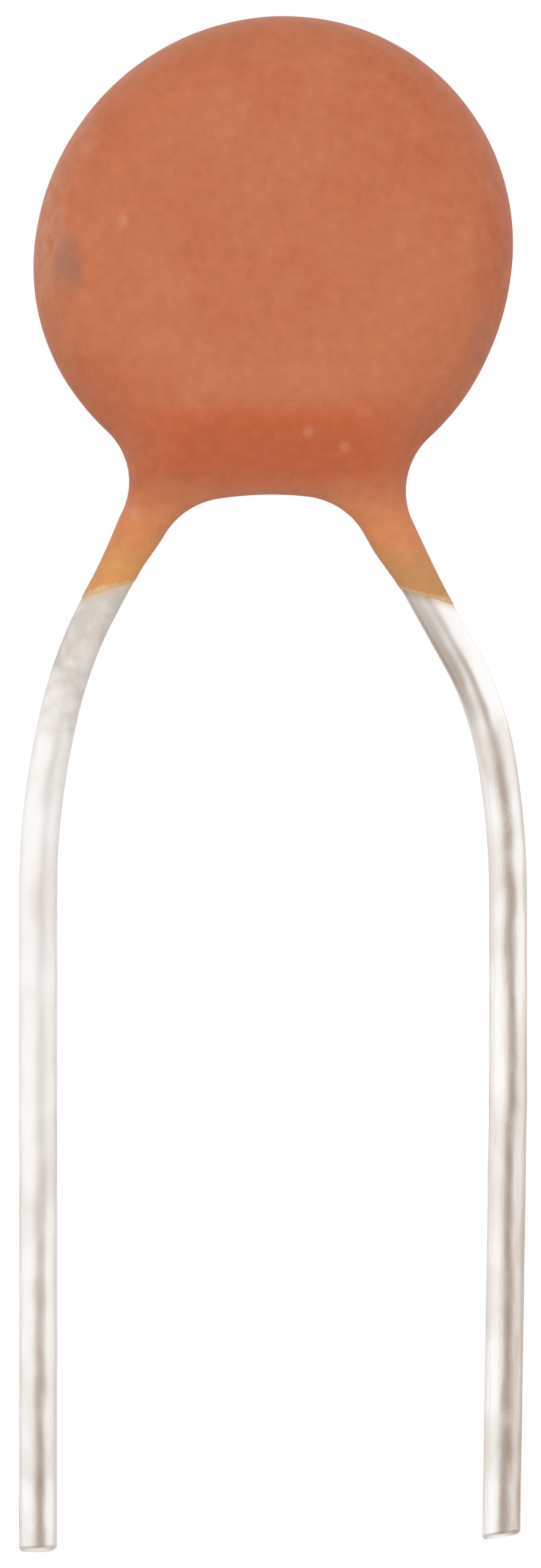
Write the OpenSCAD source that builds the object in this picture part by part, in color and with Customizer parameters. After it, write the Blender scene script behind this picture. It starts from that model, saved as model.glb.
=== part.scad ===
// Ceramic disc capacitor with a dipped coat and two formed leads.
// The origin lies midway between the leads, on the board that they stand in. The disc is up, its front on -Y.

/* [Ceramic disc] */
// Diameter of the bare ceramic disc
ceramic_d = 4.1; // [3.6:0.05:5]
// Thickness of the bare ceramic disc
ceramic_t = 0.36; // [0.25:0.01:0.6]
// Bare margin between the disc's edge and the silver electrode
electrode_margin = 0.2; // [0.1:0.01:0.4]
// Thickness of the silver electrode
electrode_t = 0.02; // [0.01:0.005:0.05]
// Height of the disc's centre above the board
disc_h = 6.94; // [6.5:0.02:9]

/* [Leads] */
// Diameter of the tinned wire
lead_d = 0.41; // [0.35:0.01:0.5]
// Distance between the straight legs of the leads
lead_pitch = 5.08; // [4.8:0.02:5.6]
// How far each lead runs over the ceramic disc
lead_overlap = 2.6; // [2:0.05:3]
// Length of the left lead below the board plane
left_tail = 7.04; // [4:0.02:12]
// Length of the right lead below the board plane
right_tail = 6.92; // [4:0.02:12]
// Lean of the left lead's sloping run
left_tilt = 28; // [25:0.5:32]
// Lean of the right lead's sloping run
right_tilt = 29.3; // [25:0.1:32]
// How far past the disc's centre line the left lead points
left_aim = 0.13; // [0:0.01:0.5]
// How far past the disc's centre line the right lead points
right_aim = 0.4; // [0:0.01:0.5]
// Radius of the left lead's upper bend
left_knee_r = 4.6; // [3:0.1:6]
// Radius of the right lead's upper bend
right_knee_r = 3.6; // [3:0.1:6]
// Radius of the left lead's gentle lower bend
left_ease_r = 8.4; // [6:0.1:12]
// Radius of the right lead's gentle lower bend
right_ease_r = 9; // [6:0.1:12]
// Share of the left lead's lean that the gentle bend takes
left_ease = 12.7; // [5:0.1:16]
// Share of the right lead's lean that the gentle bend takes
right_ease = 8.3; // [5:0.1:16]
// Slope of the crank that lifts each lead onto a face of the disc
crank_angle = 35; // [25:1:45]
// Straight stretch between the upper and the lower bend
knee_gap = 0.1; // [0.05:0.01:0.3]
// How much thinner the wire is where it is bent
bend_thinning = 0.004; // [0.003:0.001:0.008]
// Bend radius of the crank
crank_r = 0.5; // [0.4:0.02:0.6]
// Gap between the crank's end and the edge of the ceramic
crank_clear = 0.03; // [0.02:0.01:0.1]
// Depth below the board at which the right leg starts to toe in
toe_depth = 2; // [1:0.1:3]
// Angle by which the right leg toes in
toe_angle = 0.9; // [0.3:0.1:2]
// Bend radius of the toe-in
toe_r = 20; // [10:1:30]
// Slant of the left lead's cut end, up towards the middle
left_cut = 3; // [-15:1:15]
// Slant of the right lead's cut end, up towards the middle
right_cut = -11; // [-15:1:15]
// Length of the slant-cut tip
tip_l = 0.4; // [0.3:0.05:0.6]

/* [Solder] */
// Solder between a lead and its electrode
solder_film = 0.03; // [0.02:0.01:0.06]
// Solder over the outer side of a lead
solder_cap = 0.05; // [0.03:0.01:0.1]
// Width of the solder on the electrode
solder_w = 1.1; // [0.9:0.05:1.4]
// Gap between the solder and the electrode's edge
solder_inset = 0.1; // [0.05:0.01:0.3]
// Solder past the end of the lead
solder_past = 0.2; // [0.1:0.02:0.4]

/* [Coat] */
// Coat outside the edge of the ceramic
rim_wall = 0.542; // [0.45:0.002:0.8]
// Coat over the solder on each face
face_wall = 0.31; // [0.2:0.01:0.5]
// How far the rounded rim reaches in from the edge
rim_reach = 0.9; // [0.7:0.02:1.1]
// Depth below the disc's lower edge at which the coat is as thin as a leg
taper_past = 0.3; // [0.2:0.02:0.4]
// Long minus short diameter of the slightly oval disc
oval = 0.25; // [0:0.01:0.3]
// Lean of the oval's long diameter
oval_lean = 46; // [0:1:90]
// Radius of the neck between a shoulder and a leg
neck_r = 0.76; // [0.5:0.02:0.9]
// Radius of the corner between a leg and the arch
corner_r = 0.8; // [0.7:0.02:1.1]
// Radius of the arch between the legs
arch_r = 3.85; // [3.4:0.05:5]
// How far the arch is raised above the disc's edge
arch_rise = 0.02; // [0:0.005:0.1]
// Coat on the wire at the top of a leg
leg_wall = 0.056; // [0.04:0.002:0.12]
// Coat on the wire at the end of a leg
leg_end_wall = 0.008; // [0.006:0.001:0.04]
// Length of the left leg of the coat, from the disc's edge
left_leg = 1.41; // [1.1:0.01:1.5]
// Length of the right leg of the coat, from the disc's edge
right_leg = 1.41; // [1.1:0.01:1.5]
// Slant of the left leg's end, lower on its outer side
left_slant = 45; // [0:1:50]
// Slant of the right leg's end, lower on its outer side
right_slant = 46; // [0:1:50]
// Share of the left leg over which its coat thins
left_thinning = 0.5; // [0.4:0.05:1]
// Share of the right leg over which its coat thins
right_thinning = 1; // [0.4:0.05:1]

/* [Hidden] */
$fn = 48;
LEFT = -1;
RIGHT = 1;

// Length by which a bend reaches into the straights beside it
bend_lap = 0.01;
// Facets of the coat: along a shoulder, a neck, a leg, the arch and the disc's edge, and across face and rim
shoulder_steps = 5;
neck_steps = 12;
leg_steps = 4;
arch_steps = 12;
edge_steps = 54;
face_steps = 4;
rim_steps = 8;

ceramic_r = ceramic_d / 2;
lead_r = lead_d / 2;
coat_r = ceramic_r + rim_wall;

// Heights off the disc's middle plane: electrode's face, lead's axis, solder's crest and coat's face
electrode_face = ceramic_t / 2 + electrode_t;
lead_lift = electrode_face + solder_film + lead_r;
solder_crest = lead_lift + lead_r + solder_cap;
coat_face = solder_crest + face_wall;

// Radii of the coat on the wire, and the middle of the arch
leg_r = lead_r + leg_wall;
leg_end_r = lead_r + leg_end_wall;
arch_centre = [0, arch_rise - coat_r - arch_r];

// The crank is two equal and opposite bends with a straight between them
crank_straight = (lead_lift - 2 * crank_r * (1 - cos(crank_angle))) / sin(crank_angle);
crank_l = 2 * crank_r * sin(crank_angle) + crank_straight * cos(crank_angle);

// Sizes that differ between the two sides
function pick(side, left, right) = side == LEFT ? left : right;
function tilt(side) = pick(side, left_tilt, right_tilt);
function aim(side) = pick(side, left_aim, right_aim);
function ease(side) = pick(side, left_ease, right_ease);
function ease_r(side) = pick(side, left_ease_r, right_ease_r);
function knee_r(side) = pick(side, left_knee_r, right_knee_r);
function tail(side) = pick(side, left_tail, right_tail);
function cut_angle(side) = pick(side, left_cut, right_cut);
function leg_end(side) = coat_r + pick(side, left_leg, right_leg);
function slant(side) = pick(side, left_slant, right_slant);
function thinning(side) = pick(side, left_thinning, right_thinning);

// The sloping run of a lead, as [x, z] from the disc's centre and as if on the left:
// its direction, its outward normal, its distance from the centre and the point at s along it
function down(side) = [-sin(tilt(side)), -cos(tilt(side))];
function outward(side) = [-cos(tilt(side)), sin(tilt(side))];
function miss(side) = aim(side) * cos(tilt(side));
function on_lead(side, s) = s * down(side) - miss(side) * outward(side);

// Where a lead's bends start and end
function knee_in(side) = ease_r(side) * (1 - cos(ease(side))) + knee_gap * sin(ease(side))
    + knee_r(side) * (cos(ease(side)) - cos(tilt(side)));
function knee_rise(side) = ease_r(side) * sin(ease(side)) + knee_gap * cos(ease(side))
    + knee_r(side) * (sin(tilt(side)) - sin(ease(side)));
function knee_x(side) = lead_pitch / 2 - knee_in(side);
function knee_drop(side) = (knee_x(side) + aim(side)) / tan(tilt(side));
function knee_s(side) = knee_x(side) * sin(tilt(side)) + knee_drop(side) * cos(tilt(side));
function bend_z(side) = disc_h - knee_drop(side) - knee_rise(side);

// Wire forming, one step after another: each step ends where its children start, heading along their +Z.
// A bend reaches a hair into the straights beside it, so that the steps join as one solid.
module straight(length) {
    cylinder(d = lead_d, h = length);
    translate([0, 0, length]) children();
}

module bend(angle, radius, roll = 0) {
    lap = bend_lap / radius * 180 / PI;
    rotate([0, 0, roll]) {
        translate([radius, 0, 0]) rotate([90, 0, 180]) rotate([0, 0, -lap])
            rotate_extrude(angle = angle + 2 * lap) translate([radius, 0]) circle(d = lead_d - bend_thinning);
        translate([radius * (1 - cos(angle)), 0, radius * sin(angle)]) rotate([0, angle, 0]) children();
    }
}

module cut_tip(angle) {
    difference() {
        cylinder(d = lead_d, h = tip_l);
        translate([0, 0, tip_l - lead_r * tan(abs(angle))]) rotate([0, angle, 0])
            translate([-lead_d, -lead_d, 0]) cube(2 * lead_d);
    }
}

// What is built on the left is turned half round for the right, so that it ends on the opposite face
module to_side(side) {
    rotate([0, 0, pick(side, 0, 180)]) children();
}

module lead(side) {
    to_side(side) translate([-lead_pitch / 2, 0, -toe_depth]) {
        straight(toe_depth + bend_z(side))
            bend(ease(side), ease_r(side))
            straight(knee_gap)
            bend(tilt(side) - ease(side), knee_r(side))
            straight(knee_s(side) - ceramic_r - crank_clear - crank_l)
            bend(crank_angle, crank_r, roll = -90)
            straight(crank_straight)
            bend(crank_angle, crank_r, roll = 180)
            straight(crank_clear + lead_overlap);
        rotate([180, 0, 0]) lower_leg(side, tail(side) - toe_depth - tip_l);
    }
}

module lower_leg(side, length) {
    if (side == LEFT) straight(length) cut_tip(left_cut);
    else bend(toe_angle, toe_r) straight(length - toe_r * sin(toe_angle)) cut_tip(right_cut);
}

module left_lead() {
    color("gainsboro") lead(LEFT);
}

module right_lead() {
    color("gainsboro") lead(RIGHT);
}

module face_cylinder(diameter, from, thickness) {
    translate([0, -from, disc_h]) rotate([90, 0, 0]) cylinder(d = diameter, h = thickness);
}

module ceramic_disc() {
    color("wheat") face_cylinder(ceramic_d, -ceramic_t / 2, ceramic_t);
}

module electrode(side) {
    to_side(side) face_cylinder(ceramic_d - 2 * electrode_margin, ceramic_t / 2, electrode_t);
}

module front_electrode() {
    color("silver") electrode(LEFT);
}

module rear_electrode() {
    color("silver") electrode(RIGHT);
}

// A loaf of solder along the lead: a capsule, sunk so that it meets the electrode at the solder's width
module solder_loaf(side) {
    height = solder_crest - electrode_face;
    loaf_r = (pow(solder_w / 2, 2) + height * height) / (2 * height);
    low = ceramic_r - electrode_margin - solder_inset;
    length = low - ceramic_r + lead_overlap + solder_past;
    depth = 2 * solder_crest;
    foot = on_lead(side, low);
    to_side(side) translate([foot[0], 0, disc_h + foot[1]]) rotate([0, tilt(side), 0]) intersection() {
        translate([0, loaf_r - solder_crest, 0]) capsule(loaf_r, length);
        translate([-loaf_r, -depth, 0]) cube([2 * loaf_r, depth - electrode_face, length]);
    }
}

module capsule(radius, length) {
    rotate_extrude() intersection() {
        square([radius, length]);
        union() {
            translate([0, radius]) circle(radius);
            translate([0, length - radius]) circle(radius);
            translate([0, radius]) square([radius, length - 2 * radius]);
        }
    }
}

module front_solder() {
    color("lightslategray") difference() {
        solder_loaf(LEFT);
        lead(LEFT);
    }
}

module rear_solder() {
    color("lightslategray") difference() {
        solder_loaf(RIGHT);
        lead(RIGHT);
    }
}

// The coat's outline, as [x, z] from the disc's centre and as if on the left.
// Each leg runs into the disc's edge through a neck, and into the arch through a corner.
function polar(angle) = [cos(angle), sin(angle)];
function bearing(v) = atan2(v[1], v[0]);
function blend(a, b, t) = a + (b - a) * t;
function smooth(t) = let (c = max(0, min(1, t))) c * c * (3 - 2 * c);
function neck_off(side) = leg_r + neck_r - miss(side);
function neck_s(side) = sqrt(pow(coat_r + neck_r, 2) - pow(neck_off(side), 2));
function neck_centre(side) = neck_s(side) * down(side) + neck_off(side) * outward(side);
function corner_off(side) = leg_r + corner_r + miss(side);
function corner_s(side) =
    let (from = -corner_off(side) * outward(side) - arch_centre, along = from * down(side))
    -along - sqrt(along * along - from * from + pow(arch_r - corner_r, 2));
function corner_centre(side) = corner_s(side) * down(side) - corner_off(side) * outward(side);

// The turn of a neck or a corner, from the leg to the disc's edge or to the arch
function neck_turn(side) = bearing(-neck_centre(side)) - bearing(-outward(side));
function corner_turn(side) = bearing(outward(side)) - bearing(corner_centre(side) - arch_centre);

// The coat's spine follows the lead, from the leg's end over the top of the leg to where the face is flat
function leg_s(side) = (neck_s(side) + corner_s(side)) / 2;
function flat_s(side) = corner_s(side) - (leg_r + corner_r) * tan(corner_turn(side));
function neck_spine(side, k) = blend(leg_s(side), flat_s(side), k / neck_steps);

// Past the leg, along the shoulder and along the arch, it moves on to the disc's centre in steps
function to_centre(side, k) = (1 - smooth(k / shoulder_steps)) * on_lead(side, flat_s(side));

// Half the coat's thickness at a height, and how far its rounded rim reaches in: both shrink towards the legs
function thinned(z) = smooth((rim_reach - coat_r - z) / (rim_reach + taper_past));
function half_t(z) = blend(coat_face, leg_r, thinned(z));
function rim_at(z) = blend(rim_reach, leg_r, thinned(z));
function leg_radius(side, t) = blend(leg_r, leg_end_r, min(1, t / thinning(side)));

// A rib is a row of points over the coat, from the spine in front, round the edge, to the spine at the rear.
// It follows the inward normal over the rim, then runs straight over the face. On a leg it is round.
function rib(edge, inward, nose, spine, leg = 0) =
    let (
        rim = [for (k = [0 : rim_steps - 1]) nose * (1 - cos(90 * k / rim_steps))],
        face_from = norm(edge + nose * inward - spine) < 1e-6 ? spine : edge + nose * inward,
        half = concat(
            [for (k = [0 : face_steps]) rib_point(blend(spine, face_from, k / face_steps), nose, nose, leg)],
            [for (k = [rim_steps - 1 : -1 : 0]) rib_point(edge + rim[k] * inward, rim[k], nose, leg)]
        ),
        last = len(half) - 1
    )
    [for (k = [0 : 2 * last])
        let (p = half[min(k, 2 * last - k)])
        [p[0], k > last ? p[1] : -p[1], p[2]]];
function rib_point(at, depth, nose, leg) =
    let (
        rise = 1 - depth / (leg > 0 ? leg : min(nose, rim_at(at[1]))),
        y = (leg > 0 ? leg : half_t(at[1])) * sqrt(1 - pow(max(0, rise), 2)),
        long = polar(oval_lean),
        wide = polar(oval_lean + 90),
        p = at + oval / 4 / coat_r * smooth(1 + at[1] / coat_r) * ((at * long) * long - (at * wide) * wide)
    )
    [p[0], y, p[1]];

// The ribs of one side, as if on the left: down the neck, down and up the leg's two edges, and up the corner
function neck_rib(side, turn, spine) =
    let (inward = polar(bearing(-outward(side)) + turn), ray = (leg_r + neck_r) / cos(turn) - neck_r)
    [neck_centre(side) + neck_r * inward, inward, min(rim_reach, ray), spine, 0];
function corner_rib(side, turn, spine) =
    let (inward = polar(bearing(outward(side)) - turn), ray = (leg_r + corner_r) / cos(turn) - corner_r)
    [corner_centre(side) + corner_r * inward, inward, min(rim_reach, ray), spine, 0];
function leg_rib(side, t, out) =
    let (
        spine = on_lead(side, blend(leg_s(side), leg_end(side), t)),
        across = out * (outward(side) + t * t * tan(slant(side)) * down(side)),
        r = leg_radius(side, t)
    )
    [spine + r * across, -across, r, spine, r];
function side_ribs(side) =
    let (
        shoulder = atan((neck_s(side) - flat_s(side)) / (leg_r + neck_r)),
        necks = [for (k = [neck_steps : -1 : 0]) neck_spine(side, k)]
    )
    concat(
        [for (k = [shoulder_steps : -1 : 1])
            neck_rib(side, blend(shoulder, neck_turn(side), k / shoulder_steps), to_centre(side, k))],
        [for (s = necks) neck_rib(side, atan((neck_s(side) - s) / (leg_r + neck_r)), on_lead(side, s))],
        [for (k = [1 : leg_steps]) leg_rib(side, k / leg_steps, 1)],
        [for (k = [leg_steps : -1 : 1]) leg_rib(side, k / leg_steps, -1)],
        [for (k = [neck_steps : -1 : 0])
            let (s = necks[k])
            corner_rib(side, atan((corner_s(side) - s) / (leg_r + corner_r)), on_lead(side, s))]
    );

// All ribs in order round the outline: the left side, the arch, the right side from its end, the disc's edge
function flipped(v) = [-v[0], v[1]];
function mirrored(r) = [flipped(r[0]), flipped(r[1]), r[2], flipped(r[3]), r[4]];
function arch_spine(k) = to_centre(LEFT, min(k, shoulder_steps))
    + flipped(to_centre(RIGHT, min(arch_steps - k, shoulder_steps)));
function coat_ribs() =
    let (
        left = side_ribs(LEFT),
        right = side_ribs(RIGHT),
        arch_from = bearing(corner_centre(LEFT) - arch_centre),
        arch_to = 180 - bearing(corner_centre(RIGHT) - arch_centre),
        edge_from = -180 - bearing(neck_centre(RIGHT)),
        edge_to = bearing(neck_centre(LEFT)) + 360
    )
    concat(
        left,
        [for (k = [1 : arch_steps - 1])
            let (out = polar(blend(arch_from, arch_to, k / arch_steps)))
            [arch_centre + arch_r * out, out, rim_reach, arch_spine(k), 0]],
        [for (k = [len(right) - 1 : -1 : 0]) mirrored(right[k])],
        [for (k = [1 : edge_steps - 1])
            let (out = polar(blend(edge_from, edge_to, k / edge_steps)))
            [coat_r * out, -out, rim_reach, [0, 0], 0]]
    );

module coat_form() {
    ribs = [for (r = coat_ribs()) rib(r[0], r[1], r[2], r[3], r[4])];
    count = len(ribs);
    row = len(ribs[0]);
    points = [for (r = ribs) each r];
    half_side = neck_steps + leg_steps;
    left_end = shoulder_steps + half_side;
    right_end = left_end + 2 * half_side + arch_steps + 1;
    ends = [left_end, right_end];
    sides = [
        for (i = [0 : count - 1], k = [0 : row - 2])
            if (i != left_end && i != right_end)
                let (a = i * row + k, b = (i + 1) % count * row + k)
                each [[a, b, b + 1], [a, b + 1, a + 1]]
    ];
    caps = [
        for (i = ends)
            [for (k = [0 : row - 1]) (i + 1) * row + k, for (k = [row - 2 : -1 : 1]) i * row + k]
    ];
    whole = [
        for (f = sides)
            if (min([for (k = [0 : 2]) norm(points[f[k]] - points[f[(k + 1) % 3]])]) > 1e-6) f
    ];
    translate([0, 0, disc_h]) polyhedron(points, concat(whole, caps));
}

module coating() {
    color("peru") difference() {
        coat_form();
        ceramic_disc();
        electrode(LEFT);
        electrode(RIGHT);
        solder_loaf(LEFT);
        solder_loaf(RIGHT);
        lead(LEFT);
        lead(RIGHT);
    }
}

ceramic_disc();
front_electrode();
rear_electrode();
front_solder();
rear_solder();
left_lead();
right_lead();
coating();
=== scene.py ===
import math
import bpy
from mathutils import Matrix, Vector


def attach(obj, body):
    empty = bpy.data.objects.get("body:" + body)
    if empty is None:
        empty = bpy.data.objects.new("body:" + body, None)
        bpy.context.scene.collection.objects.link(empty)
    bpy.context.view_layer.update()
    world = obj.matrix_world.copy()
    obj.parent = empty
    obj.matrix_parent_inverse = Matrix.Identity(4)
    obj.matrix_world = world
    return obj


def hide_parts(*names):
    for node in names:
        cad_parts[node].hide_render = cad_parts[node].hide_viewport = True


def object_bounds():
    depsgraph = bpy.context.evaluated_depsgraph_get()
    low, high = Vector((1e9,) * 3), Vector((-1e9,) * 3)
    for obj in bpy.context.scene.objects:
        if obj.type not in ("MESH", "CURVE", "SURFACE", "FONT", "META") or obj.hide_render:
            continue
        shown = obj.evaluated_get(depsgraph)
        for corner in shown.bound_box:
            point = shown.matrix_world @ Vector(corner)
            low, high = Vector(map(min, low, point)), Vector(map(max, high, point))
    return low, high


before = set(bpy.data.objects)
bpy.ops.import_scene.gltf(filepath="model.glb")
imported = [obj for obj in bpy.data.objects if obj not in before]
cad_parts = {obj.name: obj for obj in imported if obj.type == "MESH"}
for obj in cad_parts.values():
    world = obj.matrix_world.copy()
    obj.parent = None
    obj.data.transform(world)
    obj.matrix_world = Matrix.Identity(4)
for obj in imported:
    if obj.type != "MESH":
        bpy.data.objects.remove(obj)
cadLow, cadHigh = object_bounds()
mm = 0.001  # the frame is in metres, the sizes below are in millimetres and degrees
print("frame loaded with", len(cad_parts), "nodes")


# small helpers for node trees: a value is a number, a colour or another node's socket

def addNode(tree, kind, inputs=None, **settings):
    node = tree.nodes.new(kind)
    for name, value in settings.items():
        setattr(node, name, value)
    for key, value in (inputs or {}).items():
        feed(tree, node.inputs[key], value)
    return node


def feed(tree, socket, value):
    if isinstance(value, bpy.types.NodeSocket):
        tree.links.new(value, socket)
    else:
        socket.default_value = value


def feedAll(tree, sockets, values):
    for socket, value in zip(sockets, values):
        feed(tree, socket, value)


def calc(tree, operation, *values, clamp=False):
    node = addNode(tree, "ShaderNodeMath", operation=operation, use_clamp=clamp)
    feedAll(tree, node.inputs, values)
    return node.outputs[0]


def times(tree, product, *others):
    for other in others:
        product = calc(tree, "MULTIPLY", product, other)
    return product


def vectorCalc(tree, operation, *values, output="Vector"):
    node = addNode(tree, "ShaderNodeVectorMath", operation=operation)
    feedAll(tree, node.inputs, values)
    return node.outputs[output]


def separate(tree, vector):
    return addNode(tree, "ShaderNodeSeparateXYZ", {"Vector": vector}).outputs


def combine(tree, **parts):
    return addNode(tree, "ShaderNodeCombineXYZ", parts).outputs[0]


def ramp(tree, value, low, high, toLow=0.0, toHigh=1.0):
    # runs softly from toLow to toHigh as the value goes from low to high
    node = addNode(tree, "ShaderNodeMapRange", interpolation_type="SMOOTHSTEP", inputs={
        "Value": value, "From Min": low, "From Max": high, "To Min": toLow, "To Max": toHigh})
    return node.outputs[0]


def mixFloat(tree, factor, a, b):
    node = addNode(tree, "ShaderNodeMix", data_type="FLOAT")
    feedAll(tree, [node.inputs[i] for i in (0, 2, 3)], (factor, a, b))  # 2 and 3 take numbers
    return node.outputs[0]


def mixColour(tree, factor, a, b, blend="MIX"):
    node = addNode(tree, "ShaderNodeMix", data_type="RGBA", blend_type=blend)
    feedAll(tree, [node.inputs[i] for i in (0, 6, 7)], (factor, a, b))  # 6 and 7 take colours
    return node.outputs[2]


def noise(tree, vector, scale, detail, roughness=0.5):
    node = addNode(tree, "ShaderNodeTexNoise", {
        "Vector": vector, "Scale": scale, "Detail": detail, "Roughness": roughness})
    return node.outputs[0]


def centred(tree, value):
    # noise runs from 0 to 1, and this to either side of 0
    return calc(tree, "SUBTRACT", value, 0.5)


def ragged(tree, value, spread, amount):
    # a value that noise pushes up and down
    return calc(tree, "ADD", value, times(tree, centred(tree, spread), amount))


def linear(red, green, blue):
    # screen colour 0-255 to the linear colour that a socket takes
    parts = [c / 255 for c in (red, green, blue)]
    return [c / 12.92 if c <= 0.04045 else ((c + 0.055) / 1.055) ** 2.4 for c in parts] + [1.0]


def emptyMaterial(name):
    material = bpy.data.materials.new(name)
    material.use_nodes = True
    material.node_tree.nodes.clear()
    return material, material.node_tree


def newMaterial(name):
    material, tree = emptyMaterial(name)
    shader = addNode(tree, "ShaderNodeBsdfPrincipled")
    addNode(tree, "ShaderNodeOutputMaterial", {"Surface": shader.outputs[0]})
    return material, tree, shader


def dressShader(tree, shader, colour, rough, height, bumpStrength, bumpDepth):
    bumped = addNode(tree, "ShaderNodeBump", {
        "Height": height, "Strength": bumpStrength, "Distance": bumpDepth * mm}).outputs[0]
    for name, value in (("Base Color", colour), ("Roughness", rough), ("Normal", bumped)):
        feed(tree, shader.inputs[name], value)


def objectMm(tree):
    # Object coordinates in millimetres
    place = addNode(tree, "ShaderNodeTexCoord").outputs["Object"]
    return addNode(tree, "ShaderNodeMapping", {"Vector": place, "Scale": (1 / mm,) * 3}).outputs[0]


def meshValue(tree, name, output="Fac"):
    # a mesh's own attribute, as a material reads it
    return addNode(tree, "ShaderNodeAttribute", attribute_name=name).outputs[output]


# helpers for Geometry Nodes trees and for what comes out of them

def treeInputs(tree, sockets):
    # named inputs for a tree, returned as {name: identifier}
    tree.interface.new_socket("Geometry", in_out="INPUT", socket_type="NodeSocketGeometry")
    tree.interface.new_socket("Geometry", in_out="OUTPUT", socket_type="NodeSocketGeometry")
    names = {}
    for name, kind in sockets.items():
        item = tree.interface.new_socket(name, in_out="INPUT", socket_type="NodeSocket" + kind)
        names[name] = item.identifier
    return names


def readPoints(tree, name, kind="FLOAT"):
    return addNode(tree, "GeometryNodeInputNamedAttribute", {"Name": name}, data_type=kind).outputs[0]


def storePoints(tree, geometry, name, value, kind="FLOAT"):
    return addNode(tree, "GeometryNodeStoreNamedAttribute", {
        "Geometry": geometry, "Name": name, "Value": value}, data_type=kind, domain="POINT").outputs[0]


def shifted(tree, geometry, offset):
    return addNode(tree, "GeometryNodeSetPosition", {
        "Geometry": geometry, "Offset": offset}).outputs[0]


def swollen(tree, geometry, amount):
    # moves the surface along its own normal
    normal = addNode(tree, "GeometryNodeInputNormal").outputs[0]
    offset = addNode(tree, "ShaderNodeVectorMath", {
        "Vector": normal, "Scale": amount}, operation="SCALE").outputs[0]
    return shifted(tree, geometry, offset)


def waves(tree, place, length, height, detail):
    # noise of a given wave length and height
    frequency = calc(tree, "DIVIDE", 1.0, length)
    return times(tree, centred(tree, noise(tree, place, frequency, detail)), height)


def finishTree(tree, geometry, finish):
    for kind, inputs in (("GeometryNodeTransform", {"Scale": (mm,) * 3}),
                         ("GeometryNodeRealizeInstances", {}),
                         ("GeometryNodeSetMaterial", {"Material": finish})):
        geometry = addNode(tree, kind, {"Geometry": geometry, **inputs}).outputs[0]
    addNode(tree, "NodeGroupOutput", {"Geometry": geometry})


def addToScene(name, data):
    item = bpy.data.objects.new(name, data)
    bpy.context.scene.collection.objects.link(item)
    return item


def realise(name, base, tree, names, values):
    # runs a tree on a base mesh and keeps only the plain mesh that comes out
    carrier = addToScene(name + "Base", base)
    modifier = carrier.modifiers.new("build", "NODES")
    modifier.node_group = tree
    for key, value in values.items():
        modifier[names[key]] = value
    bpy.context.view_layer.update()
    evaluated = carrier.evaluated_get(bpy.context.evaluated_depsgraph_get())
    mesh = bpy.data.meshes.new_from_object(evaluated)
    mesh.name = name
    carrier.modifiers.remove(modifier)
    bpy.data.objects.remove(carrier)
    print(name, "made,", len(mesh.polygons), "faces")
    return addToScene(name, mesh)


def pointValues(mesh, name, values):
    attribute = mesh.attributes.new(name, "FLOAT", "POINT")
    attribute.data.foreach_set("value", values)


def sinDeg(angle):
    return math.sin(math.radians(angle))


def cosDeg(angle):
    return math.cos(math.radians(angle))


def tanDeg(angle):
    return math.tan(math.radians(angle))


# tinned wire: both leads are one sweep along their own path

wire = {
    "diameter": 0.41, "pitch": 5.08, "discHeight": 6.94, "ceramicRadius": 2.05,
    "overlap": 2.6, "lift": 0.435,  # reach over the ceramic's face, and the step out to that face
    "crankAngle": 35, "crankRadius": 0.5, "crankClear": 0.03, "kneeGap": 0.1,
    "toeDepth": 2, "toeRadius": 20,
    "step": 0.07, "bendSteps": 3, "sides": 40,  # bendSteps: the fewest on a bend
    "chamfer": 0.025, "shearReach": 0.35,
    "waviness": 0.008, "waveLength": 0.6, "waveDetail": 2.0,
    # hand: the right lead is made as the left one and turned half round
    "left": {"hand": 1, "tail": 7.04, "toeAngle": 0, "tilt": 28, "aim": 0.13, "knee": 4.6,
             "easeRadius": 8.4, "ease": 12.7, "cut": 3, "seed": 3.0},
    "right": {"hand": -1, "tail": 6.92, "toeAngle": 0.9, "tilt": 29.3, "aim": 0.4, "knee": 3.6,
              "easeRadius": 9, "ease": 8.3, "cut": -11, "seed": 41.0},
}


class WireForming:
    # walks along a wire as a bending jig does and notes the points of its axis

    def __init__(self, start, heading):
        self.at, self.heading, self.points = Vector(start), Vector(heading), [Vector(start)]

    def straight(self, length):
        count = max(1, round(length / wire["step"]))
        for k in range(count):
            self.points.append(self.at + self.heading * length * (k + 1) / count)
        self.at = self.points[-1].copy()

    def bend(self, angle, radius, towards):
        # returns the way across the wire after the bend
        towards = Vector(towards)
        count = max(wire["bendSteps"], round(math.radians(angle) * radius / wire["step"]))
        centre, heading = self.at + towards * radius, self.heading.copy()
        for k in range(count):
            turn = angle * (k + 1) / count
            self.points.append(
                centre - towards * radius * cosDeg(turn) + heading * radius * sinDeg(turn))
        self.at = self.points[-1].copy()
        self.heading = heading * cosDeg(angle) + towards * sinDeg(angle)
        return towards * cosDeg(angle) - heading * sinDeg(angle)


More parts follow.
